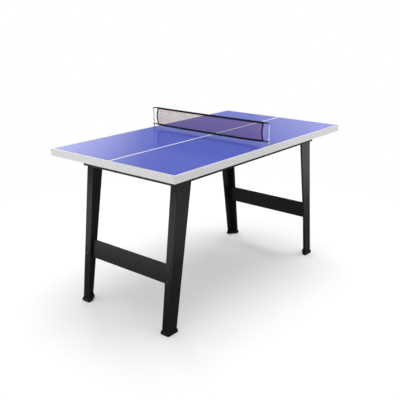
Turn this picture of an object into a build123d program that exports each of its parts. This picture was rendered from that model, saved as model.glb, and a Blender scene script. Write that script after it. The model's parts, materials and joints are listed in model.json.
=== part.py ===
from build123d import *
import os
from math import acos, atan2, cos, radians, sin, tan

# Small indoor ping pong table with a bolted, splayed-leg base and a lift-out net.
# Millimetres. Origin on the floor under the middle of the table, +X along its length,
# +Y across it, +Z up. Front is -Y, back +Y, left -X, right +X.

# Overall sizes
table_length = 1360.0
table_width = 762.0
table_height = 762.0

# Top: a playing board let into four mitred edge rails
edge_height = 33.0
border_width = 11.0
ledge_width = 11.0
board_thickness = 12.0
edge_radius = 1.5
corner_radius = 3.0

# Under-frame of folded sheet steel
end_overhang = 109.0
side_overhang = 97.5
frame_drop = 52.0
frame_wall = 2.5
frame_flange = 30.0
frame_tab = 16.0
frame_gap = 0.5
tab_margin = 8.0
cross_rail_height = 40.0
cross_rail_flange = 25.0

# Legs: L-shaped board, an end flange and a tapered side web
leg_splay = 6.3
leg_frame_gap = 2.8
leg_top_gap = 5.0
leg_flange_width = 39.0
leg_flange_thickness = 15.0
leg_web_thickness = 9.0
leg_web_top = 93.0
leg_web_foot = 55.5
leg_edge_radius = 1.0

# Foot caps: flared plastic shoes on the leg ends, with the angle of the L filled in
cap_floor = 4.0
cap_rim = 10.0
cap_height = 17.0
cap_flare = 4.5
cap_wall = 2.5
cap_clearance = 0.2
cap_corner_radius = 2.0

# End stretchers, bolted behind the leg flanges
stretcher_centre = 273.0
stretcher_height = 88.0
stretcher_thickness = 12.0
stretcher_end_gap = 0.5
stretcher_edge_radius = 1.0
stretcher_bolt_pitch = 51.0

# Fasteners
bolt_diameter = 6.0
bolt_head_diameter = 11.0
bolt_head_height = 3.2
bolt_head_round = 1.9
bolt_socket_width = 4.0
bolt_socket_depth = 1.8
bolt_tail = 2.0
nut_width = 10.0
nut_height = 5.0
washer_diameter = 12.5
washer_thickness = 1.6
screw_diameter = 4.0
screw_head_diameter = 8.0
screw_head_height = 2.4
screw_head_round = 1.4
screw_cover = 3.5
screw_recess_length = 4.4
screw_recess_width = 1.0
screw_recess_depth = 1.4
rivet_diameter = 3.2
rivet_head_diameter = 6.4
rivet_head_height = 1.2
rivet_head_round = 0.7
rivet_bulb_diameter = 5.0
fastener_clearance = 0.1

# Where the fasteners sit
leg_bolt_flange_margin = 16.0
leg_bolt_web_margin = 20.0
leg_bolt_low_margin = 18.0
leg_bolt_high_margin = 22.0
rivet_margin = 10.0
frame_screw_side_margin = 160.0
frame_screw_side_count = 4
frame_screw_end_margin = 105.0
frame_screw_end_count = 2
rail_screw_side_margin = 68.0
rail_screw_side_count = 6
rail_screw_end_margin = 152.0
rail_screw_end_count = 3

# Net set: two rods, a mesh with bound edges and four cord loops
post_inset = 15.5
post_diameter = 6.0
post_clearance = 0.1
post_tip = 3.4
post_tip_radius = 1.2
socket_floor = 3.0
net_end_gap = 27.5
net_top = 110.0
net_height = 96.0
tape_width = 9.5
tape_thickness = 2.0
side_tape_width = 8.0
side_tape_thickness = 1.6
mesh_thickness = 0.8
mesh_cord = 1.2
mesh_columns = 50
mesh_rows = 6
tie_diameter = 3.2
tie_clearance = 0.15
tie_strand_gap = 0.5
groove_depth = 0.4
knot_radius = 3.9
knot_length = 6.0
knot_round = 1.2

# Most of a wall that a rounding may take
rounding_limit = 0.8

# Levels and half sizes that follow from the sizes above
half_length = table_length / 2
half_width = table_width / 2
board_bottom = table_height - board_thickness
edge_bottom = table_height - edge_height
frame_top = board_bottom
frame_bottom = edge_bottom - frame_drop
flange_bottom = frame_top - frame_wall
frame_end = half_length - end_overhang
frame_side = half_width - side_overhang
frame_end_inside = frame_end - frame_wall
frame_side_inside = frame_side - frame_wall
corner_tab_low = frame_bottom + tab_margin
corner_tab_high = flange_bottom - tab_margin
cross_rail_low = frame_top - cross_rail_height
cross_tab_high = flange_bottom - frame_gap

leg_side = frame_side_inside
leg_top = flange_bottom - leg_top_gap
leg_foot = cap_floor
leg_lean = tan(radians(leg_splay))
leg_flange_run = leg_flange_thickness / cos(radians(leg_splay))

socket_bottom = edge_bottom + socket_floor
post_y = half_width - post_inset
net_end = post_y - net_end_gap
net_top_level = table_height + net_top
net_bottom_level = net_top_level - net_height
top_tie_level = net_top_level - tape_width / 2
bottom_tie_level = net_bottom_level + tape_width / 2
tie_levels = (bottom_tie_level, top_tie_level)
post_top = top_tie_level + post_tip

sides = {"left": -1, "right": 1}
faces = {"front": -1, "back": 1}
corners = [(x_side, y_side) for x_side in (-1, 1) for y_side in (-1, 1)]


def leg_end_at(level):
    """X of the leg's outer end face at a height above the floor."""
    reach = frame_end_inside - frame_tab - leg_frame_gap
    return reach + (frame_bottom - level) * leg_lean


def leg_web_at(level):
    """Width of the leg's side web, along X, at a height above the floor."""
    share = (level - leg_foot) / (leg_top - leg_foot)
    return leg_web_foot + share * (leg_web_top - leg_web_foot)


def block(low, high):
    """A box between its lowest and highest corners."""
    size = [b - a for a, b in zip(low, high)]
    middle = [(a + b) / 2 for a, b in zip(low, high)]
    return Pos(*middle) * Box(*size)


def upright_plate(outline, y_low, y_high):
    """A plate cut to an outline of (x, z) points, between two Y planes."""
    points = [(x, y_low, z) for x, z in outline]
    face = make_face(Polyline(*points, close=True))
    return extrude(face, amount=y_high - y_low, dir=(0, 1, 0))


def flat_plate(outline, z_low, z_high):
    """A plate cut to an outline of (x, y) points, between two levels."""
    points = [(x, y, z_low) for x, y in outline]
    face = make_face(Polyline(*points, close=True))
    return extrude(face, amount=z_high - z_low, dir=(0, 0, 1))


def rod(point, direction, radius, length):
    """A round bar from a point along a direction."""
    plane = Plane(origin=point, z_dir=direction)
    return plane * Cylinder(radius, length, align=(Align.CENTER, Align.CENTER, Align.MIN))


def mirrored(shape, x_side, y_side):
    """A piece of the right back quarter, carried to another quarter."""
    if x_side < 0:
        shape = mirror(shape, about=Plane.YZ)
    if y_side < 0:
        shape = mirror(shape, about=Plane.XZ)
    return shape


def group(solids):
    """Separate solids that share one node."""
    return Compound(children=list(solids))


def rounding(radius, wall):
    """A rounding's radius, within the wall that it rounds."""
    return min(radius, wall * rounding_limit)


def spread(half_span, margin, count):
    """Evenly spaced places along a span, a margin from each end."""
    step = 2 * (half_span - margin) / (count - 1)
    return [margin - half_span + i * step for i in range(count)]


# Fastener shapes, each along +Z with the underside of its head at Z 0

def round_head(diameter, height, radius):
    """A low head, rounded on top."""
    head = Cylinder(diameter / 2, height, align=(Align.CENTER, Align.CENTER, Align.MAX))
    return fillet(head.edges().sort_by(Axis.Z)[0], rounding(radius, height))


def bolt(grip):
    """Low round-headed bolt with a hexagon socket."""
    head = round_head(bolt_head_diameter, bolt_head_height, bolt_head_round)
    socket = RegularPolygon(bolt_socket_width / 2, 6, major_radius=False)
    recess = Pos(0, 0, -bolt_head_height) * extrude(socket, bolt_socket_depth)
    shank_length = grip + washer_thickness + nut_height + bolt_tail
    shank = rod((0, 0, 0), (0, 0, 1), bolt_diameter / 2, shank_length)
    return head - recess + shank


def nut():
    """Hexagon nut standing on Z 0."""
    blank = extrude(RegularPolygon(nut_width / 2, 6, major_radius=False), nut_height)
    return blank - rod((0, 0, 0), (0, 0, 1), bolt_diameter / 2 + fastener_clearance, nut_height)


def washer():
    """Flat washer standing on Z 0."""
    disc = rod((0, 0, 0), (0, 0, 1), washer_diameter / 2, washer_thickness)
    return disc - rod((0, 0, 0), (0, 0, 1), bolt_diameter / 2 + fastener_clearance, washer_thickness)


def cross_recess(level):
    """The crossed slots for a driver, cut in from a level."""
    long, short = screw_recess_length / 2, screw_recess_width / 2
    floor = level + screw_recess_depth
    return block((-long, -short, level), (long, short, floor)) + block((-short, -long, level), (short, long, floor))


def pan_screw(length):
    """Pan-headed screw."""
    head = round_head(screw_head_diameter, screw_head_height, screw_head_round)
    head -= cross_recess(-screw_head_height)
    return head + rod((0, 0, 0), (0, 0, 1), screw_diameter / 2, length)


def sunk_screw(length):
    """Countersunk screw, its flat head flush with Z 0."""
    head = Cone(
        screw_head_diameter / 2,
        screw_diameter / 2,
        screw_head_height,
        align=(Align.CENTER, Align.CENTER, Align.MIN),
    )
    screw = head + rod((0, 0, 0), (0, 0, 1), screw_diameter / 2, length)
    return screw - cross_recess(0)


def sunk_hole(length):
    """The room that a countersunk screw takes."""
    head = Cone(
        screw_head_diameter / 2 + fastener_clearance,
        screw_diameter / 2 + fastener_clearance,
        screw_head_height,
        align=(Align.CENTER, Align.CENTER, Align.MIN),
    )
    return head + rod((0, 0, 0), (0, 0, 1), screw_diameter / 2 + fastener_clearance, length)


def rivet(grip):
    """Pop rivet, closed over two sheets."""
    head = round_head(rivet_head_diameter, rivet_head_height, rivet_head_round)
    shank = rod((0, 0, 0), (0, 0, 1), rivet_diameter / 2, grip)
    bulb = rod((0, 0, grip), (0, 0, 1), rivet_bulb_diameter / 2, rivet_head_height)
    return head + shank + bulb


# Where fasteners go, as planes whose Z runs from the head into the work

def rail_screw_places():
    """Screws that come up through the rail's ledge into the board."""
    side_line = half_width - border_width - ledge_width / 2
    end_line = half_length - border_width - ledge_width / 2
    along = spread(half_length, rail_screw_side_margin, rail_screw_side_count)
    across = spread(half_width, rail_screw_end_margin, rail_screw_end_count)
    points = [(x, y_side * side_line) for y_side in (-1, 1) for x in along]
    points += [(x_side * end_line, y) for x_side in (-1, 1) for y in across]
    return [Plane(origin=(x, y, edge_bottom), z_dir=(0, 0, 1)) for x, y in points]


def frame_screw_places():
    """Screws that come up through the frame's flanges into the board."""
    side_line = frame_side - frame_flange / 2
    end_line = frame_end - frame_flange / 2
    cross_line = frame_side_inside - frame_flange - screw_head_diameter
    along = spread(frame_end, frame_screw_side_margin, frame_screw_side_count)
    across = spread(frame_side, frame_screw_end_margin, frame_screw_end_count)
    points = [(x, y_side * side_line) for y_side in (-1, 1) for x in along]
    points += [(x_side * end_line, y) for x_side in (-1, 1) for y in across]
    points += [(cross_rail_flange / 2, y_side * cross_line) for y_side in (-1, 1)]
    return [Plane(origin=(x, y, flange_bottom), z_dir=(0, 0, 1)) for x, y in points]


def leg_bolt_places():
    """Bolts from outside the right back side rail into that leg's web."""
    places = []
    for level in (frame_bottom + leg_bolt_low_margin, frame_top - leg_bolt_high_margin):
        near = leg_end_at(level) - leg_flange_run - leg_bolt_flange_margin
        far = leg_end_at(level) - leg_web_at(level) + leg_bolt_web_margin
        for x in (near, far):
            places.append(Plane(origin=(x, frame_side, level), z_dir=(0, -1, 0)))
    return places


def stretcher_plane():
    """On the right flanges' outer face at the stretcher's height, Z inwards."""
    lean = radians(leg_splay)
    origin = (leg_end_at(stretcher_centre), 0, stretcher_centre)
    return Plane(origin=origin, x_dir=(0, 1, 0), z_dir=(-cos(lean), 0, -sin(lean)))


def stretcher_bolt_places():
    """Bolts from outside the right back leg's flange into the stretcher."""
    line = leg_side - leg_flange_width / 2
    places = []
    for offset in (-stretcher_bolt_pitch / 2, stretcher_bolt_pitch / 2):
        places.append(stretcher_plane() * Pos(line, offset, 0))
    return places


def corner_rivet_places():
    """Rivets from outside the right back side rail into the end rail's tab."""
    x = frame_end_inside - frame_tab / 2
    levels = (corner_tab_low + rivet_margin, corner_tab_high - rivet_margin)
    return [Plane(origin=(x, frame_side, level), z_dir=(0, -1, 0)) for level in levels]


def cross_rivet_places():
    """Rivets from outside the back side rail into the cross rail's tab."""
    x = -frame_wall / 2 - frame_tab / 2
    levels = (cross_rail_low + rivet_margin, cross_tab_high - rivet_margin)
    return [Plane(origin=(x, frame_side, level), z_dir=(0, -1, 0)) for level in levels]


def bolt_hole(grip):
    return rod((0, 0, 0), (0, 0, 1), bolt_diameter / 2 + fastener_clearance, grip)


def rivet_hole(grip):
    return rod((0, 0, 0), (0, 0, 1), rivet_diameter / 2 + fastener_clearance, grip)


def screw_hole(length):
    return rod((0, 0, 0), (0, 0, 1), screw_diameter / 2 + fastener_clearance, length)


leg_bolt_grip = frame_wall + leg_web_thickness
stretcher_bolt_grip = leg_flange_thickness + stretcher_thickness
rivet_grip = 2 * frame_wall
frame_screw_length = frame_wall + board_thickness - screw_cover
rail_screw_length = edge_height - screw_cover


# Top

def post_hole(y_side):
    """The drilled socket for one net post."""
    depth = table_height - socket_bottom
    return rod((0, y_side * post_y, socket_bottom), (0, 0, 1), post_diameter / 2 + post_clearance, depth)


def playing_board():
    length = table_length - 2 * border_width
    width = table_width - 2 * border_width
    board = block((-length / 2, -width / 2, board_bottom), (length / 2, width / 2, table_height))
    for y_side in faces.values():
        board -= post_hole(y_side)
    for place in frame_screw_places():
        board -= place * screw_hole(frame_screw_length)
    for place in rail_screw_places():
        board -= place * screw_hole(rail_screw_length)
    return board


def edge_ring():
    """All four edge rails before they are mitred apart."""
    outline = Pos(0, 0, edge_bottom) * RectangleRounded(table_length, table_width, corner_radius)
    ring = extrude(outline, edge_height)
    levels = ring.faces().sort_by(Axis.Z)
    ring = fillet(levels[0].edges() + levels[-1].edges(), edge_radius)
    board_length = half_length - border_width
    board_width = half_width - border_width
    ring -= block((-board_length, -board_width, board_bottom), (board_length, board_width, table_height))
    open_length = board_length - ledge_width
    open_width = board_width - ledge_width
    ring -= block((-open_length, -open_width, edge_bottom), (open_length, open_width, board_bottom))
    for y_side in faces.values():
        ring -= post_hole(y_side)
    for place in rail_screw_places():
        ring -= place * sunk_hole(rail_screw_length)
    return ring


def side_mitre(y_side):
    depth = border_width + ledge_width
    inner_y = y_side * (half_width - depth)
    outline = [
        (-half_length, y_side * half_width),
        (half_length, y_side * half_width),
        (half_length - depth, inner_y),
        (-half_length + depth, inner_y),
    ]
    return flat_plate(outline, edge_bottom, table_height)


def end_mitre(x_side):
    depth = border_width + ledge_width
    inner_x = x_side * (half_length - depth)
    outline = [
        (x_side * half_length, -half_width),
        (x_side * half_length, half_width),
        (inner_x, half_width - depth),
        (inner_x, -half_width + depth),
    ]
    return flat_plate(outline, edge_bottom, table_height)


# Under-frame

def frame_side_rail(y_side):
    """Folded angle along one side, its flange under the board."""
    web = block(
        (-frame_end_inside, frame_side_inside, frame_bottom),
        (frame_end_inside, frame_side, frame_top),
    )
    reach = frame_end - frame_flange - frame_gap
    flange = block((-reach, frame_side - frame_flange, flange_bottom), (reach, frame_side, frame_top))
    rail = web + flange
    for place in leg_bolt_places():
        for x_side in sides.values():
            rail -= mirrored(place * bolt_hole(frame_wall), x_side, 1)
    for place in corner_rivet_places():
        for x_side in sides.values():
            rail -= mirrored(place * rivet_hole(frame_wall), x_side, 1)
    for place in cross_rivet_places():
        rail -= place * rivet_hole(frame_wall)
    rail = mirrored(rail, 1, y_side)
    for place in frame_screw_places():
        rail -= place * screw_hole(frame_wall)
    return rail


def frame_end_rail(x_side):
    """Folded angle across one end, with a tab at each corner."""
    web = block((frame_end_inside, -frame_side, frame_bottom), (frame_end, frame_side, frame_top))
    reach = frame_side_inside - frame_gap
    flange = block((frame_end - frame_flange, -reach, flange_bottom), (frame_end, reach, frame_top))
    tab = block(
        (frame_end_inside - frame_tab, frame_side_inside - frame_wall, corner_tab_low),
        (frame_end_inside, frame_side_inside, corner_tab_high),
    )
    for place in corner_rivet_places():
        tab -= place * rivet_hole(rivet_grip)
    rail = web + flange + tab + mirrored(tab, 1, -1)
    rail = mirrored(rail, x_side, 1)
    for place in frame_screw_places():
        rail -= place * screw_hole(frame_wall)
    return rail


def frame_cross_rail():
    """Folded channel across the middle, riveted to the side rails."""
    low = cross_rail_low
    reach = frame_side_inside
    flange_reach = frame_side - frame_flange - frame_gap
    half_wall = frame_wall / 2
    web = block((-half_wall, -flange_reach, low), (half_wall, flange_reach, frame_top))
    web += block((-half_wall, -reach, low), (half_wall, reach, cross_tab_high))
    flange = block((-half_wall, -flange_reach, flange_bottom), (cross_rail_flange, flange_reach, frame_top))
    foot = block((-half_wall, -flange_reach, low), (cross_rail_flange, flange_reach, low + frame_wall))
    tab = block(
        (-half_wall - frame_tab, reach - frame_wall, low),
        (-half_wall, reach, cross_tab_high),
    )
    for place in cross_rivet_places():
        tab -= place * rivet_hole(rivet_grip)
    rail = web + flange + foot + tab + mirrored(tab, 1, -1)
    for place in frame_screw_places():
        rail -= place * screw_hole(frame_wall)
    return rail


# Legs, feet and stretchers

def leg():
    """The right back leg, its foot cut level."""
    top_end = leg_end_at(leg_top)
    foot_end = leg_end_at(leg_foot)
    web = upright_plate(
        [
            (foot_end, leg_foot),
            (top_end, leg_top),
            (top_end - leg_web_top, leg_top),
            (foot_end - leg_web_foot, leg_foot),
        ],
        leg_side - leg_web_thickness,
        leg_side,
    )
    flange = upright_plate(
        [
            (foot_end, leg_foot),
            (top_end, leg_top),
            (top_end - leg_flange_run, leg_top),
            (foot_end - leg_flange_run, leg_foot),
        ],
        leg_side - leg_flange_width,
        leg_side,
    )
    shape = web + flange
    middle = (leg_top + leg_foot) / 2
    inner_corner = Vector(leg_end_at(middle) - leg_flange_run, leg_side - leg_web_thickness, middle)
    long_edges = shape.edges().filter_by(lambda edge: edge.length > middle)
    outer_edges = long_edges.filter_by(lambda edge: (edge.center() - inner_corner).length > leg_edge_radius)
    shape = fillet(outer_edges, rounding(leg_edge_radius, leg_web_thickness / 2))
    for place in leg_bolt_places():
        shape -= place * bolt_hole(leg_bolt_grip)
    for place in stretcher_bolt_places():
        shape -= place * bolt_hole(leg_flange_thickness)
    return shape


def leg_section(level, growth, filled=False):
    """The leg's L outline at a level, grown outwards all round; filled, its angle is bridged straight."""
    end = leg_end_at(level)
    outer_x = end + growth
    flange_x = end - leg_flange_run - growth
    web_x = end - leg_web_at(level) - growth
    outer_y = leg_side + growth
    web_y = leg_side - leg_web_thickness - growth
    flange_y = leg_side - leg_flange_width - growth
    outline = [
        (outer_x, outer_y, level),
        (outer_x, flange_y, level),
        (flange_x, flange_y, level),
        (flange_x, web_y, level),
        (web_x, web_y, level),
        (web_x, outer_y, level),
    ]
    if filled:
        outline.remove((flange_x, web_y, level))
    return make_face(Polyline(*outline, close=True))


def foot_cap():
    """The right back foot cap: a flared shoe with an L-shaped pocket that the leg stands in."""
    rim = fillet(leg_section(cap_rim, cap_flare, filled=True).vertices(), cap_corner_radius)
    sole = Pos(0, 0, -cap_rim) * rim
    collar = fillet(leg_section(cap_height, cap_wall, filled=True).vertices(), cap_corner_radius)
    shoe = extrude(sole, cap_rim, dir=(0, 0, 1)) + loft([rim, collar], ruled=True)
    seat = leg_section(cap_floor, cap_clearance)
    mouth = leg_section(cap_height, cap_clearance)
    return shoe - loft([seat, mouth], ruled=True)


def stretcher():
    """The right end's stretcher."""
    length = 2 * (leg_side - leg_web_thickness - stretcher_end_gap)
    board = Box(
        length,
        stretcher_height,
        stretcher_thickness,
        align=(Align.CENTER, Align.CENTER, Align.MIN),
    )
    long_edges = board.edges().filter_by(Axis.X)
    board = fillet(long_edges, rounding(stretcher_edge_radius, stretcher_thickness / 2))
    board = stretcher_plane() * Pos(0, 0, leg_flange_thickness) * board
    for place in stretcher_bolt_places():
        for y_side in faces.values():
            board -= mirrored(place * bolt_hole(stretcher_bolt_grip), 1, y_side)
    return board


# Net set

def net_post(y_side):
    """A straight rod with a shallow groove at each cord loop."""
    y = y_side * post_y
    post = rod((0, y, socket_bottom), (0, 0, 1), post_diameter / 2, post_top - socket_bottom)
    post = fillet(post.edges().sort_by(Axis.Z)[-1], rounding(post_tip_radius, post_diameter / 2))
    groove_height = tie_diameter + 2 * tie_clearance
    for level in tie_levels:
        low = (0, y, level - groove_height / 2)
        ring = rod(low, (0, 0, 1), post_diameter, groove_height)
        ring -= rod(low, (0, 0, 1), post_diameter / 2 - groove_depth, groove_height)
        post -= ring
    return post


def net_tie(y_side, level):
    """A cord loop from a knot at the net's end, round the post and back."""
    loop_radius = post_diameter / 2 - groove_depth + tie_clearance + tie_diameter / 2
    strand_x = tie_diameter / 2 + tie_strand_gap / 2
    start_y = net_end + knot_length / 2
    reach_y = start_y - post_y
    distance = (strand_x**2 + reach_y**2) ** 0.5
    turn = atan2(reach_y, strand_x) + acos(loop_radius / distance)
    touch_x = loop_radius * cos(turn)
    touch_y = post_y + loop_radius * sin(turn)
    out = Line((strand_x, start_y, level), (touch_x, touch_y, level))
    bend = ThreePointArc(
        (touch_x, touch_y, level),
        (0, post_y + loop_radius, level),
        (-touch_x, touch_y, level),
    )
    back = Line((-touch_x, touch_y, level), (-strand_x, start_y, level))
    route = Wire([*out.edges(), *bend.edges(), *back.edges()])
    section = Plane(origin=out @ 0, z_dir=out % 0) * Circle(tie_diameter / 2)
    knot = rod((0, net_end, level), (0, 1, 0), knot_radius, knot_length)
    knot = fillet(knot.edges().filter_by(GeomType.CIRCLE), rounding(knot_round, knot_radius))
    return mirrored(knot + sweep(section, path=route), 1, y_side)


def net_mesh():
    """The square mesh as one holed sheet, between its four tapes."""
    half_span = net_end - side_tape_width
    low = net_bottom_level + tape_width
    high = net_top_level - tape_width
    column = 2 * half_span / mesh_columns
    row = (high - low) / mesh_rows
    x = -mesh_thickness / 2

    def rectangle(y_low, y_high, z_low, z_high):
        points = [(x, y_low, z_low), (x, y_high, z_low), (x, y_high, z_high), (x, y_low, z_high)]
        return Wire(Polyline(*points, close=True).edges())

    gaps = []
    for i in range(mesh_columns):
        for j in range(mesh_rows):
            y_low = -half_span + i * column + mesh_cord / 2
            z_low = low + j * row + mesh_cord / 2
            gaps.append(rectangle(y_low, y_low + column - mesh_cord, z_low, z_low + row - mesh_cord))
    sheet = Face(rectangle(-half_span, half_span, low, high), gaps)
    return extrude(sheet, amount=mesh_thickness, dir=(1, 0, 0))


def net_tape(low_level):
    """A long binding along the top or the bottom of the net."""
    half = tape_thickness / 2
    return block((-half, -net_end, low_level), (half, net_end, low_level + tape_width))


def net_side_tape(y_side):
    """A short binding down one end of the net."""
    half = side_tape_thickness / 2
    low = (-half, net_end - side_tape_width, net_bottom_level + tape_width)
    high = (half, net_end, net_top_level - tape_width)
    return mirrored(block(low, high), 1, y_side)


# The pieces by name

pieces = {"playing_board": playing_board()}

ring = edge_ring()
for name, y_side in faces.items():
    pieces["edge_rail_" + name] = ring & side_mitre(y_side)
for name, x_side in sides.items():
    pieces["edge_rail_" + name] = ring & end_mitre(x_side)
pieces["rail_screws"] = group(place * sunk_screw(rail_screw_length) for place in rail_screw_places())

for name, y_side in faces.items():
    pieces["frame_rail_" + name] = frame_side_rail(y_side)
for name, x_side in sides.items():
    pieces["frame_rail_" + name] = frame_end_rail(x_side)
pieces["frame_cross_rail"] = frame_cross_rail()
pieces["frame_screws"] = group(place * pan_screw(frame_screw_length) for place in frame_screw_places())

rivets = []
for place in corner_rivet_places():
    rivets += [mirrored(place * rivet(rivet_grip), *corner) for corner in corners]
for place in cross_rivet_places():
    rivets += [mirrored(place * rivet(rivet_grip), 1, y_side) for y_side in faces.values()]
pieces["frame_rivets"] = group(rivets)

right_back_leg = leg()
right_back_cap = foot_cap()
for y_name, y_side in faces.items():
    for x_name, x_side in sides.items():
        pieces[f"leg_{y_name}_{x_name}"] = mirrored(right_back_leg, x_side, y_side)
        pieces[f"foot_cap_{y_name}_{x_name}"] = mirrored(right_back_cap, x_side, y_side)

right_stretcher = stretcher()
for name, x_side in sides.items():
    pieces["stretcher_" + name] = mirrored(right_stretcher, x_side, 1)

bolted_joints = {
    "leg": (leg_bolt_places(), leg_bolt_grip),
    "stretcher": (stretcher_bolt_places(), stretcher_bolt_grip),
}
for name, (places, grip) in bolted_joints.items():
    hardware = {
        "bolts": bolt(grip),
        "washers": Pos(0, 0, grip) * washer(),
        "nuts": Pos(0, 0, grip + washer_thickness) * nut(),
    }
    for kind, shape in hardware.items():
        solids = [mirrored(place * shape, *corner) for corner in corners for place in places]
        pieces[f"{name}_{kind}"] = group(solids)

pieces["net_mesh"] = net_mesh()
pieces["net_tape_top"] = net_tape(net_top_level - tape_width)
pieces["net_tape_bottom"] = net_tape(net_bottom_level)
for name, y_side in faces.items():
    pieces["net_post_" + name] = net_post(y_side)
    pieces["net_side_tape_" + name] = net_side_tape(y_side)
    pieces["net_tie_bottom_" + name] = net_tie(y_side, bottom_tie_level)
    pieces["net_tie_top_" + name] = net_tie(y_side, top_tie_level)

os.makedirs("parts", exist_ok=True)
for name, shape in pieces.items():
    export_step(shape, f"parts/{name}.step")
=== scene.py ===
import json
from math import cos, pi, radians, sin

import bmesh
import bpy
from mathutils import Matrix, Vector


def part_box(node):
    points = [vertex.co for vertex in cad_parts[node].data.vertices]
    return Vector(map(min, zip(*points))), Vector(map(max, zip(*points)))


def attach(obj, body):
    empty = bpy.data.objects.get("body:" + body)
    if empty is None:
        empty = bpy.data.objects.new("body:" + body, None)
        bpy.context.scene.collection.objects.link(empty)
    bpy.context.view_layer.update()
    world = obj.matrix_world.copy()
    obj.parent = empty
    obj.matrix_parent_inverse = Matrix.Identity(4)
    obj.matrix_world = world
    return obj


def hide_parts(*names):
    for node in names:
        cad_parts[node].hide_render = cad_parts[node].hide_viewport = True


# Looks of a small ping pong table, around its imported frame.
# Metres; +X along the table, +Y along the net, +Z up.

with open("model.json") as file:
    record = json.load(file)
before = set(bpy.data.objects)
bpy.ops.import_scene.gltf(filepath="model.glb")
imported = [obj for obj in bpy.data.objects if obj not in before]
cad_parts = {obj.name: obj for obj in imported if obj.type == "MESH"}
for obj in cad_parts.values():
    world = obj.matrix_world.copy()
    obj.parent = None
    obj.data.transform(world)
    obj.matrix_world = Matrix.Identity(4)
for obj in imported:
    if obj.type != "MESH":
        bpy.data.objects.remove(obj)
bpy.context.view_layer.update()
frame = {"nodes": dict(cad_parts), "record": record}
nodes = frame["nodes"]

# Places read from the frame
top_tape_low, top_tape_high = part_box("net_tape_top")
bottom_tape_low, bottom_tape_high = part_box("net_tape_bottom")
side_tape_low, side_tape_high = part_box("net_side_tape_back")
post_low, post_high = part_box("net_post_back")

top_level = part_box("playing_board")[1].z
half_length = -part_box("edge_rail_left")[0].x
half_width = -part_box("edge_rail_front")[0].y
net_end = top_tape_high.y
net_top = top_tape_high.z
net_bottom = bottom_tape_low.z
tape_width = top_tape_high.z - top_tape_low.z
side_tape_width = side_tape_high.y - side_tape_low.y
post_y = (post_low.y + post_high.y) / 2

# Top: the painted centre line, the skin that is painted, and the hairline at the mitres
centre_line_width = 0.010
paint_depth = 0.0005
seam_reach = 0.00018
seam_strength = 0.6

# Net mesh: its cords, its knots and how it hangs
mesh_columns = 160
mesh_rows = 19
mesh_cord = 0.00103
mesh_tuck = 0.002
cord_sides = 6
column_cuts = 11
row_cuts = 79
knot_size = 0.0007
knot_stretch = (1.15, 1.0, 0.85)
knot_tilt = radians(35)
mesh_smoothing = 70
top_sag = 0.0015
bottom_sag = 0.0042
billow_depth = 0.0090
billow_even = 0.86
# Slow waves along the billow: share of its depth, waves in the net's length, start
billow_waves = ((0.10, 2, 0.0), (0.04, 7, 1.0))

# Tapes that bind the net's edges, and their stitches
tape_wall = 0.0004
tape_slot_end = 0.0012
tape_round = 0.0008
tape_round_steps = 3
tape_cuts = 96
side_tape_cuts = 24
tape_smoothing = 50
stitch_pitch = 0.0042
stitch_length = 0.0028
stitch_width = 0.0005
stitch_inset = 0.0020
stitch_dip = 0.6
stitch_sides = 6
stitch_rings = 5

# Ties: cord loops round the posts, each whipped with a thinner cord beside the net
tie_diameter = 0.0032
tie_round_steps = 4
tie_bend_steps = 8
# The loop's route seen from above, from the net's corner round the post: across the net, out past the post
loop_route = (
    (0.0016, -0.0270),
    (0.0017, -0.0205),
    (0.0018, -0.0140),
    (0.0020, -0.0098),
    (0.0040, -0.0042),
    (0.0047, -0.0005),
    (0.0041, 0.0026),
    (0.0016, 0.0044),
)
wrap_turns = 11
wrap_turn_steps = 12
wrap_cord = 0.0016
wrap_start = 0.0004
wrap_reach_across = 0.0036
wrap_reach_up = 0.0024

# Colours of the finishes, most as a darker and a lighter shade
blue_shades = (0.065, 0.097, 0.550), (0.073, 0.107, 0.580)
line_white = (0.84, 0.84, 0.82)
fibre_shades = (0.24, 0.15, 0.085), (0.36, 0.25, 0.15)
white_shades = (0.745, 0.745, 0.744), (0.780, 0.780, 0.778)
seam_grey = (0.40, 0.39, 0.37)
leg_shades = (0.0079, 0.0079, 0.0097), (0.0136, 0.0132, 0.0158)
frame_shades = (0.0050, 0.0050, 0.0053), (0.0085, 0.0085, 0.0088)
foot_shades = (0.0040, 0.0040, 0.0042), (0.0070, 0.0070, 0.0072)
bolt_shades = (0.005, 0.005, 0.005), (0.011, 0.011, 0.012)
zinc_shades = (0.50, 0.51, 0.53), (0.64, 0.64, 0.62)
rod_shades = (0.40, 0.41, 0.50), (0.50, 0.51, 0.60)
net_shades = (0.154, 0.008, 0.022), (0.336, 0.018, 0.050)
black_cloth_shades = (0.003, 0.003, 0.003), (0.014, 0.014, 0.0135)
maroon_cloth_shades = (0.030, 0.003, 0.006), (0.100, 0.010, 0.019)

# The photograph's viewpoint
camera_place = (-2.4129, -1.9164, 1.4072)
camera_aim = (-0.1965, -0.1134, 0.4926)
camera_lens = 55.88
camera_sensor = 36

# Fill light and floor. The floor shows the shadow as far as shadow_reach from the middle, and fades to
# plain white at white_reach
world_fill = 0.48
floor_size = 120
floor_grey = 0.90
floor_glow = 0.20
shadow_reach = 1.2
white_reach = 2.0

# Light from above: name, direction, spread in degrees, strength
sky_lamps = (
    ("overhead", (-0.18, 0.03, -1.0), 46, 0.34),
    ("overhead_left", (0.75, 0.15, -1.0), 40, 0.10),
)
sky_level = 4

# Two walls of soft boxes beyond the table, which the top mirrors. Each box stands a step aside from the
# last and a little behind it, so that overlapping faces never lie in one plane
box_width = 2.4
box_height = 3.0
box_level = 2.2
box_step = 0.25
box_setback = 0.1
back_wall_boxes = 6
back_wall_first = 3.5
back_wall_distance = 5.2
back_wall_radiance = 0.64
right_wall_boxes = 5
right_wall_first = 2.25
right_wall_distance = 5.6
right_wall_radiance = 0.31

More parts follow.
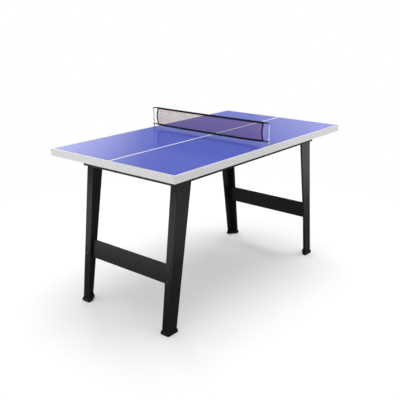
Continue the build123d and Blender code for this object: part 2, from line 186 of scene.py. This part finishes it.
# Low lamps beside the legs: name, place, aim, width, height, radiance of the face
low_lamps = (
    ("front_low", (1.95, -1.5, 0.28), (0.3, -0.33, 0.5), 1.3, 0.45, 2.4),
    ("left_low", (-2.2, 1.3, 0.28), (-0.66, 0.0, 0.5), 1.4, 0.45, 3.2),
)

# Cards that only show as reflections in the dark legs and stretchers, in the same order
cards = (
    ("left_card", (-1.10, 0.48, 0.32), (0.0, 0.48, 0.32), 1.0, 0.42, 15.34),
    ("front_left_card", (-0.10, -0.85, 0.29), (-0.10, 0.0, 0.29), 0.6, 0.48, 8.02),
    ("under_card", (0.20, 0.32, 0.012), (0.20, 0.32, 1.0), 0.5, 0.9, 2.60),
    ("front_right_card", (1.55, -0.85, 0.30), (1.55, 0.0, 0.30), 1.0, 0.48, 7.67),
)

# How nearly two directions agree, and two places, to count as the same
same_way = 0.99
same_place = 1e-5


# Small helpers

def deselect():
    if bpy.context.object and bpy.context.object.mode != "OBJECT":
        bpy.ops.object.mode_set(mode="OBJECT")
    bpy.ops.object.select_all(action="DESELECT")


def pick(piece):
    """Selects one piece alone and makes it the active one."""
    deselect()
    piece.select_set(True)
    bpy.context.view_layer.objects.active = piece


def apply_modifier(piece, kind, **settings):
    """Adds a modifier and applies it to the mesh."""
    bpy.context.view_layer.objects.active = piece
    modifier = piece.modifiers.new(kind.lower(), kind)
    for name, value in settings.items():
        setattr(modifier, name, value)
    bpy.ops.object.modifier_apply(modifier=modifier.name)


def settle(piece):
    """Puts the piece's place into its mesh."""
    pick(piece)
    bpy.ops.object.transform_apply(location=True, rotation=True, scale=True)


def smooth(piece, angle):
    pick(piece)
    bpy.ops.object.shade_smooth_by_angle(angle=radians(angle))


def select_faces(piece, wanted):
    """In edit mode, selects just the faces whose normal is wanted."""
    bpy.ops.mesh.select_mode(type="FACE")
    bpy.ops.mesh.select_all(action="DESELECT")
    shape = bmesh.from_edit_mesh(piece.data)
    for face in shape.faces:
        face.select_set(bool(wanted(face.normal)))
    bmesh.update_edit_mesh(piece.data)


def select_edges(piece, wanted):
    """In edit mode, selects just the edges that wanted(start, end) picks."""
    bpy.ops.mesh.select_mode(type="EDGE")
    bpy.ops.mesh.select_all(action="DESELECT")
    shape = bmesh.from_edit_mesh(piece.data)
    for edge in shape.edges:
        edge.select_set(bool(wanted(edge.verts[0].co, edge.verts[1].co)))
    bmesh.update_edit_mesh(piece.data)


def dress(piece, name, slot):
    """Names a finished piece of the net, gives it its material and lets it ride with the net."""
    piece.name = name
    piece.data.name = name
    piece.data.materials.clear()
    piece.data.materials.append(finishes[slot])
    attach(piece, "net_set")


# Shader helpers

def new_group(name, inputs, outputs):
    """An empty shader group with float or vector sockets, given as name: (kind, value)."""
    group = bpy.data.node_groups.new(name, "ShaderNodeTree")
    for socket, (kind, value) in inputs.items():
        made = group.interface.new_socket(socket, in_out="INPUT", socket_type="NodeSocket" + kind)
        if value is not None:
            made.default_value = value
    for socket, kind in outputs.items():
        group.interface.new_socket(socket, in_out="OUTPUT", socket_type="NodeSocket" + kind)
    return group, group.nodes.new("NodeGroupInput"), group.nodes.new("NodeGroupOutput")


def feed(tree, socket, value):
    """Gives a socket a number, a colour or another node's output."""
    if isinstance(value, (int, float)):
        socket.default_value = value
    elif isinstance(value, tuple):
        socket.default_value = (*value, 1)
    else:
        tree.links.new(value, socket)


def math_node(tree, operation, *values):
    """A Math node whose inputs are sockets or numbers."""
    node = tree.nodes.new("ShaderNodeMath")
    node.operation = operation
    for socket, value in zip(node.inputs, values):
        feed(tree, socket, value)
    return node.outputs[0]


def blend_colour(tree, share, first, second):
    """A colour between two colours, by a share."""
    node = tree.nodes.new("ShaderNodeMix")
    node.data_type = "RGBA"
    for index, value in ((0, share), (6, first), (7, second)):
        feed(tree, node.inputs[index], value)
    return node.outputs[2]


def blend_value(tree, share, low, high):
    """A number between two numbers, by a share."""
    node = tree.nodes.new("ShaderNodeMapRange")
    tree.links.new(share, node.inputs["Value"])
    node.inputs["To Min"].default_value = low
    node.inputs["To Max"].default_value = high
    return node.outputs["Result"]


def blend_shader(tree, share, first, second):
    """A shader between two shaders, by a share."""
    node = tree.nodes.new("ShaderNodeMixShader")
    for socket, value in zip(node.inputs, (share, first, second)):
        tree.links.new(value, socket)
    return node.outputs[0]


def mottle_group():
    """Slow cloudiness and fine speckle of a coated surface, and its height."""
    group, given, made = new_group(
        "coating mottle",
        {"Place": ("Vector", None), "Cloud Size": ("Float", 0.05), "Speckle Size": ("Float", 0.001)},
        {"Cloud": "Float", "Speckle": "Float", "Height": "Float"},
    )
    links = group.links

    def noise(size, detail):
        node = group.nodes.new("ShaderNodeTexNoise")
        links.new(given.outputs["Place"], node.inputs["Vector"])
        links.new(math_node(group, "DIVIDE", 1.0, size), node.inputs["Scale"])
        node.inputs["Detail"].default_value = detail
        return node.outputs["Fac"]

    cloud = noise(given.outputs["Cloud Size"], 3)
    speckle = noise(given.outputs["Speckle Size"], 2)
    links.new(cloud, made.inputs["Cloud"])
    links.new(speckle, made.inputs["Speckle"])
    height = math_node(group, "ADD", math_node(group, "MULTIPLY", cloud, 0.3), speckle)
    links.new(height, made.inputs["Height"])
    return group


def weave_group():
    """Plain weave of a narrow tape: threads over and under, by two lengths across the cloth."""
    group, given, made = new_group(
        "plain weave",
        {"Along": ("Float", 0.0), "Across": ("Float", 0.0), "Thread": ("Float", 0.0006)},
        {"Height": "Float", "Gap": "Float"},
    )

    def wave(length):
        threads = math_node(group, "DIVIDE", length, given.outputs["Thread"])
        return math_node(group, "SINE", math_node(group, "MULTIPLY", threads, pi))

    warp = wave(given.outputs["Along"])
    weft = wave(given.outputs["Across"])
    crown = math_node(group, "MULTIPLY", warp, weft)
    high = math_node(group, "MULTIPLY_ADD", crown, 0.5, 0.5)
    edge = math_node(group, "ABSOLUTE", crown)
    height = math_node(group, "MULTIPLY_ADD", edge, 0.6, math_node(group, "MULTIPLY", high, 0.4))
    group.links.new(height, made.inputs["Height"])
    group.links.new(math_node(group, "SUBTRACT", 1.0, edge), made.inputs["Gap"])
    return group


mottle = mottle_group()
weave = weave_group()


class Finish:
    """A material with one Principled shader, read on Object coordinates."""

    def __init__(self, name, **constants):
        self.material = bpy.data.materials.new(name)
        self.material.use_nodes = True
        self.tree = self.material.node_tree
        self.shader = self.tree.nodes["Principled BSDF"]
        self.place = self.tree.nodes.new("ShaderNodeTexCoord").outputs["Object"]
        for socket, value in constants.items():
            self.shader.inputs[socket.replace("_", " ")].default_value = value

    def axes(self, place=None):
        """The three lengths of a place, which is the object's own unless another is given."""
        node = self.tree.nodes.new("ShaderNodeSeparateXYZ")
        self.tree.links.new(place or self.place, node.inputs[0])
        return node.outputs

    def stretched(self, scale):
        """Object coordinates, stretched so that a pattern gets a grain."""
        node = self.tree.nodes.new("ShaderNodeMapping")
        node.inputs["Scale"].default_value = scale
        self.tree.links.new(self.place, node.inputs["Vector"])
        return node.outputs[0]

    def group(self, group, **values):
        node = self.tree.nodes.new("ShaderNodeGroup")
        node.node_tree = group
        for socket, value in values.items():
            feed(self.tree, node.inputs[socket.replace("_", " ")], value)
        return node.outputs

    def mottled(self, cloud, speckle, grain=(1, 1, 1)):
        return self.group(mottle, Place=self.stretched(grain), Cloud_Size=cloud, Speckle_Size=speckle)

    def put(self, socket, value):
        self.tree.links.new(value, self.shader.inputs[socket])

    def colour(self, share, shades):
        self.put("Base Color", blend_colour(self.tree, share, *shades))

    def rough(self, share, low, high):
        self.put("Roughness", blend_value(self.tree, share, low, high))

    def bump(self, height, depth):
        node = self.tree.nodes.new("ShaderNodeBump")
        node.inputs["Distance"].default_value = depth
        self.tree.links.new(height, node.inputs["Height"])
        self.put("Normal", node.outputs[0])


# Finishes

def playing_blue():
    """Satin blue laminate with a white centre line on top, bare fibreboard below."""
    finish = Finish("playing_blue", IOR=1.08)
    tree = finish.tree
    _, y, z = finish.axes()
    coat = finish.mottled(cloud=0.22, speckle=0.0009)
    fibres = finish.mottled(cloud=0.02, speckle=0.0006)
    blue = blend_colour(tree, coat["Cloud"], *blue_shades)
    line = math_node(tree, "LESS_THAN", math_node(tree, "ABSOLUTE", y), centre_line_width / 2)
    painted = blend_colour(tree, line, blue, line_white)
    bare = blend_colour(tree, fibres["Speckle"], *fibre_shades)
    top_face = math_node(tree, "GREATER_THAN", z, top_level - paint_depth)
    finish.colour(top_face, (bare, painted))
    gloss = blend_value(tree, coat["Cloud"], 0.14, 0.22)
    dull = blend_value(tree, fibres["Speckle"], 0.75, 0.95)
    rough = tree.nodes.new("ShaderNodeMix")
    for index, value in ((0, top_face), (2, dull), (3, gloss)):
        tree.links.new(value, rough.inputs[index])
    finish.put("Roughness", rough.outputs[0])
    finish.bump(coat["Height"], 0.000012)
    return finish.material


def edge_white():
    """White satin foil, with a hairline where the rails are mitred."""
    finish = Finish("edge_white", IOR=1.11)
    tree = finish.tree
    x, y, _ = finish.axes()
    coat = finish.mottled(cloud=0.09, speckle=0.0007)
    from_end = math_node(tree, "SUBTRACT", half_length, math_node(tree, "ABSOLUTE", x))
    from_side = math_node(tree, "SUBTRACT", half_width, math_node(tree, "ABSOLUTE", y))
    off_mitre = math_node(tree, "ABSOLUTE", math_node(tree, "SUBTRACT", from_end, from_side))
    seam = math_node(tree, "LESS_THAN", off_mitre, seam_reach)
    white = blend_colour(tree, coat["Cloud"], *white_shades)
    finish.colour(math_node(tree, "MULTIPLY", seam, seam_strength), (white, seam_grey))
    finish.rough(coat["Speckle"], 0.36, 0.50)
    finish.bump(coat["Height"], 0.000015)
    return finish.material


def plain_coat(name, shades, rough, cloud, speckle, depth, grain=(1, 1, 1), **constants):
    """A coat in one colour: its shade and gloss vary a little, and its skin has a fine texture."""
    finish = Finish(name, **constants)
    coat = finish.mottled(cloud, speckle, grain)
    finish.colour(coat["Cloud"], shades)
    finish.rough(coat["Speckle"], *rough)
    finish.bump(coat["Height"], depth)
    return finish.material


def leg_black():
    """Black satin foil with an upright grain."""
    return plain_coat(
        "leg_black", leg_shades, rough=(0.28, 0.38), cloud=0.012, speckle=0.0012, depth=0.00003,
        grain=(1, 1, 0.08), IOR=1.08,
    )


def frame_black():
    """Black powder coat on the folded steel."""
    return plain_coat(
        "frame_black", frame_shades, rough=(0.38, 0.60), cloud=0.03, speckle=0.0011, depth=0.00005,
        IOR=1.10,
    )


def foot_black():
    """Black moulded plastic."""
    return plain_coat(
        "foot_black", foot_shades, rough=(0.42, 0.66), cloud=0.008, speckle=0.0006, depth=0.00004,
        IOR=1.10,
    )


def bolt_black():
    """Blackened steel."""
    return plain_coat(
        "bolt_black", bolt_shades, rough=(0.26, 0.42), cloud=0.004, speckle=0.0005, depth=0.00002,
        IOR=1.21,
    )


def zinc_steel():
    """Bright zinc plate."""
    return plain_coat(
        "zinc_steel", zinc_shades, rough=(0.24, 0.42), cloud=0.006, speckle=0.0004, depth=0.00001,
        Metallic=1.0,
    )


def post_steel():
    """Bright drawn rod: fine lines along its length."""
    finish = Finish("post_steel", Metallic=1.0)
    lines = finish.mottled(cloud=0.002, speckle=0.0002, grain=(1, 1, 0.01))
    finish.colour(lines["Cloud"], rod_shades)
    finish.rough(lines["Speckle"], 0.12, 0.26)
    finish.bump(lines["Speckle"], 0.000006)
    return finish.material


def net_maroon(twist=0.0010):
    """Thin twisted cord: slanting strands that repeat every twist along it."""
    finish = Finish("net_maroon", IOR=1.3, Sheen_Weight=0.05)
    tree = finish.tree
    x, y, z = finish.axes()
    along = math_node(tree, "ADD", math_node(tree, "ADD", y, z), x)
    strand = math_node(tree, "SINE", math_node(tree, "MULTIPLY", along, 2 * pi / twist))
    high = math_node(tree, "MULTIPLY_ADD", strand, 0.5, 0.5)
    # The strand crests take the lighter shade and the grooves between strands the darker: the twist is
    # real, the darker grooves are painted shade
    finish.colour(high, net_shades)
    finish.rough(high, 0.92, 0.72)
    finish.bump(high, 0.00008)
    return finish.material


def woven_tape(name, shades, thread=0.0006):
    """Narrow woven binding."""
    finish = Finish(name, IOR=1.3, Sheen_Weight=0.04)
    _, y, z = finish.axes()
    cloth = finish.group(weave, Along=y, Across=z, Thread=thread)
    wear = finish.mottled(cloud=0.03, speckle=0.0008)
    # Thread crowns take the lighter shade and the gaps between threads the darker, which is painted shade
    # in the gaps; the slow cloud varies the tone at random
    finish.colour(math_node(finish.tree, "MULTIPLY", cloth["Height"], wear["Cloud"]), shades)
    finish.rough(cloth["Gap"], 0.78, 0.95)
    finish.bump(cloth["Height"], 0.00010)
    return finish.material


def tie_black(thread=0.0009):
    """Round braid, read on the cord's own UV: two sets of strands that cross."""
    finish = Finish("tie_black", IOR=1.3, Sheen_Weight=0.04)
    tree = finish.tree
    along, around, _ = finish.axes(tree.nodes.new("ShaderNodeUVMap").outputs[0])
    right = math_node(tree, "ADD", along, around)
    left = math_node(tree, "SUBTRACT", along, around)
    cloth = finish.group(weave, Along=right, Across=left, Thread=thread)
    # Strand crowns take the lighter shade and the gaps between strands the darker: painted shade in the
    # gaps
    finish.colour(cloth["Height"], black_cloth_shades)
    finish.rough(cloth["Gap"], 0.72, 0.92)
    finish.bump(cloth["Height"], 0.00015)
    return finish.material


finishes = {
    "playing_blue": playing_blue(),
    "edge_white": edge_white(),
    "leg_black": leg_black(),
    "frame_black": frame_black(),
    "foot_black": foot_black(),
    "bolt_black": bolt_black(),
    "zinc_steel": zinc_steel(),
    "post_steel": post_steel(),
    "net_maroon": net_maroon(),
    "tape_black": woven_tape("tape_black", black_cloth_shades),
    "tape_maroon": woven_tape("tape_maroon", maroon_cloth_shades),
    "tie_black": tie_black(),
}

for subpart in frame["record"]["subparts"]:
    node = nodes[subpart["node"]]
    node.data.materials.clear()
    node.data.materials.append(finishes[subpart["material_slot"]])


# Net

def rise(level):
    """A level as a share of the net's height."""
    return (level - net_bottom) / (net_top - net_bottom)


def billow(y, level):
    """How far the slack net stands out along X at a place on it."""
    along = (y + net_end) / (2 * net_end)
    belly = sin(pi * min(max(rise(level), 0.0), 1.0)) ** 2
    swell = billow_even
    for share, waves, start in billow_waves:
        swell += share * cos(2 * pi * waves * along + start)
    return -billow_depth * belly * swell


def sag(y, level):
    """How far the net hangs below a straight line; its bottom tape is slacker than its top tape."""
    along = abs(y) / net_end
    up = rise(level)
    return -top_sag * (1 - along ** 2) * up - bottom_sag * (1 - along ** 4) * (1 - up)


def hang(piece):
    """Gives a straight piece of the net its billow and its sag."""
    for vertex in piece.data.vertices:
        x, y, z = vertex.co
        vertex.co = (x + billow(y, z), y, z + sag(y, z))


def repeat(piece, count, step):
    """Copies of a mesh at even steps."""
    apply_modifier(
        piece, "ARRAY", count=count, use_relative_offset=False,
        use_constant_offset=True, constant_offset_displace=step,
    )


def cord_row(middle, length, turn, cuts, count, step):
    """Parallel cords of the net: one is modelled, the rest are copies."""
    deselect()
    bpy.ops.mesh.primitive_cylinder_add(
        vertices=cord_sides, radius=mesh_cord / 2, depth=length, location=middle, rotation=turn,
    )
    cord = bpy.context.object
    settle(cord)
    bpy.ops.object.mode_set(mode="EDIT")
    select_edges(cord, lambda start, end: (end - start).length > length / 2)
    bpy.ops.mesh.subdivide(number_cuts=cuts)
    bpy.ops.object.mode_set(mode="OBJECT")
    repeat(cord, count, step)
    return cord


def knot_field(corner, column, row):
    """The knots, one at each crossing."""
    deselect()
    bpy.ops.mesh.primitive_ico_sphere_add(subdivisions=1, radius=knot_size, location=corner)
    knots = bpy.context.object
    knots.scale = knot_stretch
    knots.rotation_euler = (knot_tilt, 0, 0)
    settle(knots)
    repeat(knots, mesh_columns + 1, (0, column, 0))
    repeat(knots, mesh_rows + 1, (0, 0, row))
    return knots


def net_mesh():
    """Fine square mesh of thin cord, knotted at each crossing, tucked into its tapes."""
    high_y = net_end - side_tape_width + mesh_tuck
    low_y = -high_y
    low_z = net_bottom + tape_width - mesh_tuck
    high_z = net_top - tape_width + mesh_tuck
    width, height = high_y - low_y, high_z - low_z
    column, row = width / mesh_columns, height / mesh_rows
    lift = mesh_cord / 4
    upright = cord_row(
        (lift, low_y, (low_z + high_z) / 2), height, (0, 0, 0),
        column_cuts, mesh_columns + 1, (0, column, 0),
    )
    level = cord_row(
        (-lift, 0, low_z), width, (pi / 2, 0, 0),
        row_cuts, mesh_rows + 1, (0, 0, row),
    )
    knots = knot_field((0, low_y, low_z), column, row)
    pick(upright)
    level.select_set(True)
    knots.select_set(True)
    bpy.ops.object.join()
    net = bpy.context.object
    hang(net)
    smooth(net, mesh_smoothing)
    dress(net, "net_cords", "net_maroon")
    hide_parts("net_mesh")


def folded_tape(low, high, inward, cuts):
    """A tape folded over the net's edge: rounded at the fold, open towards the net, straight so far."""
    inward = Vector(inward)
    run = Vector((0, 1, 0)) if inward.z else Vector((0, 0, 1))
    depth = abs((high - low).dot(inward))
    fold = min(low.dot(inward), high.dot(inward))

    def along_run(start, end):
        return abs((end - start).normalized().dot(run)) > same_way

    def at_fold(start, end):
        return along_run(start, end) and abs(start.dot(inward) - fold) < same_place

    deselect()
    bpy.ops.mesh.primitive_cube_add(size=1, location=(low + high) / 2)
    tape = bpy.context.object
    tape.scale = high - low
    settle(tape)
    bpy.ops.object.mode_set(mode="EDIT")
    select_faces(tape, lambda normal: normal.dot(inward) > same_way)
    bpy.ops.mesh.inset(thickness=tape_wall, use_even_offset=True)
    bpy.ops.mesh.extrude_region_move(
        TRANSFORM_OT_translate={"value": tuple(-inward * (depth - 2 * tape_slot_end))}
    )
    select_edges(tape, at_fold)
    bpy.ops.mesh.bevel(offset=tape_round, segments=tape_round_steps, affect="EDGES")
    select_edges(tape, along_run)
    bpy.ops.mesh.subdivide(number_cuts=cuts)
    bpy.ops.object.mode_set(mode="OBJECT")
    return tape


def stitch_row(start, step, count, face_x):
    """A row of sewn stitches on both faces of a tape, each a short thread that dips in at its ends."""
    step = Vector(step)
    middle = Vector(start) + Vector((face_x, 0, 0))
    deselect()
    bpy.ops.mesh.primitive_uv_sphere_add(
        segments=stitch_sides, ring_count=stitch_rings, radius=0.5, location=(0, 0, 0),
    )
    stitch = bpy.context.object
    stitch.scale = (stitch_width, stitch_width, stitch_length)
    if step.y:
        stitch.rotation_euler = (pi / 2, 0, 0)
    settle(stitch)
    for vertex in stitch.data.vertices:
        reach = vertex.co.dot(step.normalized()) / (stitch_length / 2)
        vertex.co.x -= stitch_width * stitch_dip * reach ** 2
        vertex.co += middle
    repeat(stitch, count, step)
    apply_modifier(stitch, "MIRROR", use_axis=(True, False, False), use_mirror_merge=False)
    bpy.ops.object.mode_set(mode="EDIT")
    bpy.ops.mesh.select_all(action="SELECT")
    bpy.ops.mesh.normals_make_consistent(inside=False)
    bpy.ops.object.mode_set(mode="OBJECT")
    return stitch


def finish_tape(tape, stitches, name, slot, node):
    """Hangs a tape with its stitches, dresses both and lets the tape stand for its CAD node."""
    for piece in (tape, stitches):
        hang(piece)
        smooth(piece, tape_smoothing)
    dress(tape, name, slot)
    dress(stitches, name + "_stitches", slot)
    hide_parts(node)


def long_tapes():
    """The black tapes along the net's top and bottom."""
    count = int(2 * net_end / stitch_pitch) - 1
    first_y = -stitch_pitch * (count - 1) / 2
    face_x = top_tape_high.x
    for name, low, high, inward, net_side in (
        ("top", top_tape_low, top_tape_high, -1, top_tape_low.z),
        ("bottom", bottom_tape_low, bottom_tape_high, 1, bottom_tape_high.z),
    ):
        tape = folded_tape(low, high, (0, 0, inward), tape_cuts)
        level = net_side - inward * stitch_inset
        stitches = stitch_row((0, first_y, level), (0, stitch_pitch, 0), count, face_x)
        finish_tape(tape, stitches, f"net_binding_{name}", "tape_black", f"net_tape_{name}")


def side_tapes():
    """The maroon tapes down the net's ends."""
    for name, y_side in (("front", -1), ("back", 1)):
        low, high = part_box(f"net_side_tape_{name}")
        tape = folded_tape(low, high, (0, -y_side, 0), side_tape_cuts)
        height = high.z - low.z
        count = int(height / stitch_pitch) - 1
        first_z = low.z + (height - stitch_pitch * (count - 1)) / 2
        line = (low.y if y_side > 0 else high.y) + y_side * stitch_inset
        stitches = stitch_row((0, line, first_z), (0, 0, stitch_pitch), count, high.x)
        finish_tape(tape, stitches, f"net_binding_{name}", "tape_maroon", f"net_side_tape_{name}")


def cord_curve(name, points, diameter):
    """A round cord along a smooth line through the middle of its route."""
    curve = bpy.data.curves.new(name, "CURVE")
    curve.dimensions = "3D"
    curve.bevel_depth = diameter / 2
    curve.bevel_resolution = tie_round_steps
    curve.resolution_u = tie_bend_steps
    curve.use_fill_caps = True
    spline = curve.splines.new("NURBS")
    spline.points.add(len(points) - 1)
    for point, place in zip(spline.points, points):
        point.co = (*place, 1)
    spline.order_u = 3
    spline.use_endpoint_u = True
    cord = bpy.data.objects.new(name, curve)
    bpy.context.scene.collection.objects.link(cord)
    return cord


def tie(name, y_side, level):
    """A cord loop from the net's corner round the post, with its binding turns."""
    half = [(x, y_side * (post_y + out), level) for x, out in loop_route]
    points = half + [(-x, y, z) for x, y, z in reversed(half)]
    loop = cord_curve(f"{name}_loop", points, tie_diameter)
    wrap_points = []
    for i in range(wrap_turns * wrap_turn_steps + 1):
        turns = i / wrap_turn_steps
        x = wrap_reach_across * cos(2 * pi * turns)
        out = net_end + wrap_start + wrap_cord * turns
        wrap_points.append((x, y_side * out, level + wrap_reach_up * sin(2 * pi * turns)))
    wrap = cord_curve(f"{name}_binding", wrap_points, wrap_cord)
    for piece in (loop, wrap):
        dress(piece, piece.name, "tie_black")
    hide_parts(name)


net_mesh()
long_tapes()
side_tapes()
for end_name, y_side in (("front", -1), ("back", 1)):
    for level_name in ("bottom", "top"):
        tie_low, tie_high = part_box(f"net_tie_{level_name}_{end_name}")
        tie(f"net_tie_{level_name}_{end_name}", y_side, (tie_low.z + tie_high.z) / 2)


# Studio

def white_to_eye(tree, lit, bright):
    """Shows one shader to the eye, mirrors and glass, and another to the light that falls on things."""
    path = tree.nodes.new("ShaderNodeLightPath")
    seen = math_node(tree, "MAXIMUM", path.outputs["Is Camera Ray"], path.outputs["Is Glossy Ray"])
    seen = math_node(tree, "MAXIMUM", seen, path.outputs["Is Transmission Ray"])
    return blend_shader(tree, seen, lit, bright)


def studio_world():
    """An even white fill that looks plain white."""
    world = bpy.data.worlds.new("studio")
    world.use_nodes = True
    tree = world.node_tree
    fill = tree.nodes["Background"]
    fill.inputs["Strength"].default_value = world_fill
    white = tree.nodes.new("ShaderNodeBackground")
    for background in (fill, white):
        background.inputs["Color"].default_value = (1, 1, 1, 1)
    surface = white_to_eye(tree, fill.outputs[0], white.outputs[0])
    tree.links.new(surface, tree.nodes["World Output"].inputs[0])
    bpy.context.scene.world = world


def studio_floor():
    """A pale floor that keeps the shadow and fades into the white behind it."""
    deselect()
    bpy.ops.mesh.primitive_plane_add(size=floor_size, location=(0, 0, 0))
    floor = bpy.context.object
    floor.name = "studio_floor"
    material = bpy.data.materials.new("studio_floor")
    material.use_nodes = True
    tree = material.node_tree
    paint = tree.nodes["Principled BSDF"]
    paint.inputs["Base Color"].default_value = (floor_grey, floor_grey, floor_grey, 1)
    paint.inputs["Roughness"].default_value = 1.0
    paint.inputs["Specular IOR Level"].default_value = 0.0
    glow = tree.nodes.new("ShaderNodeEmission")
    glow.inputs["Strength"].default_value = floor_glow
    shaded = tree.nodes.new("ShaderNodeAddShader")
    tree.links.new(paint.outputs[0], shaded.inputs[0])
    tree.links.new(glow.outputs[0], shaded.inputs[1])
    away = tree.nodes.new("ShaderNodeVectorMath")
    away.operation = "LENGTH"
    tree.links.new(tree.nodes.new("ShaderNodeTexCoord").outputs["Object"], away.inputs[0])
    fade = tree.nodes.new("ShaderNodeMapRange")
    fade.interpolation_type = "SMOOTHSTEP"
    fade.inputs["From Min"].default_value = shadow_reach
    fade.inputs["From Max"].default_value = white_reach
    tree.links.new(away.outputs["Value"], fade.inputs["Value"])
    white = tree.nodes.new("ShaderNodeEmission")
    seen = blend_shader(tree, fade.outputs["Result"], shaded.outputs[0], white.outputs[0])
    surface = white_to_eye(tree, paint.outputs[0], seen)
    tree.links.new(surface, tree.nodes["Material Output"].inputs[0])
    floor.data.materials.append(material)


def aimed(name, data, place, direction):
    """Puts a lamp or the camera at a place, looking along a direction."""
    holder = bpy.data.objects.new(name, data)
    holder.location = place
    holder.rotation_euler = Vector(direction).to_track_quat("-Z", "Y").to_euler()
    bpy.context.scene.collection.objects.link(holder)
    return holder


def studio_camera():
    camera = bpy.data.cameras.new("photo_view")
    camera.lens = camera_lens
    camera.sensor_width = camera_sensor
    direction = Vector(camera_aim) - Vector(camera_place)
    bpy.context.scene.camera = aimed("photo_view", camera, camera_place, direction)


def sky_light(name, direction, spread, strength):
    """Very soft light from the whole upper sky, the same all over the floor."""
    light = bpy.data.lights.new(name, "SUN")
    light.angle = radians(spread)
    light.energy = strength * pi
    aimed(name, light, (0, 0, sky_level), direction)


def soft_light(name, place, aim, width, height, radiance):
    """A large soft lamp; its power follows from how bright its face is."""
    light = bpy.data.lights.new(name, "AREA")
    light.shape = "RECTANGLE"
    light.size = width
    light.size_y = height
    light.energy = radiance * pi * width * height
    lamp = aimed(name, light, place, Vector(aim) - Vector(place))
    lamp.visible_camera = False
    return lamp


def light_walls():
    """The soft boxes beyond the table's far side and its right end."""
    for i in range(back_wall_boxes):
        x, y = back_wall_first - box_step * i, back_wall_distance + box_setback * i
        place, aim = (x, y, box_level), (x, 0, box_level)
        soft_light(f"back_left_{i}", place, aim, box_width, box_height, back_wall_radiance)
    for i in range(right_wall_boxes):
        x, y = right_wall_distance + box_setback * i, right_wall_first - box_step * i
        place, aim = (x, y, box_level), (0, y, box_level)
        soft_light(f"back_right_{i}", place, aim, box_width, box_height, right_wall_radiance)


studio_world()
studio_floor()
studio_camera()
for lamp_values in sky_lamps:
    sky_light(*lamp_values)
light_walls()
for lamp_values in low_lamps:
    soft_light(*lamp_values)
for card_values in cards:
    soft_light(*card_values).visible_diffuse = False

bpy.context.scene.view_settings.view_transform = "Standard"
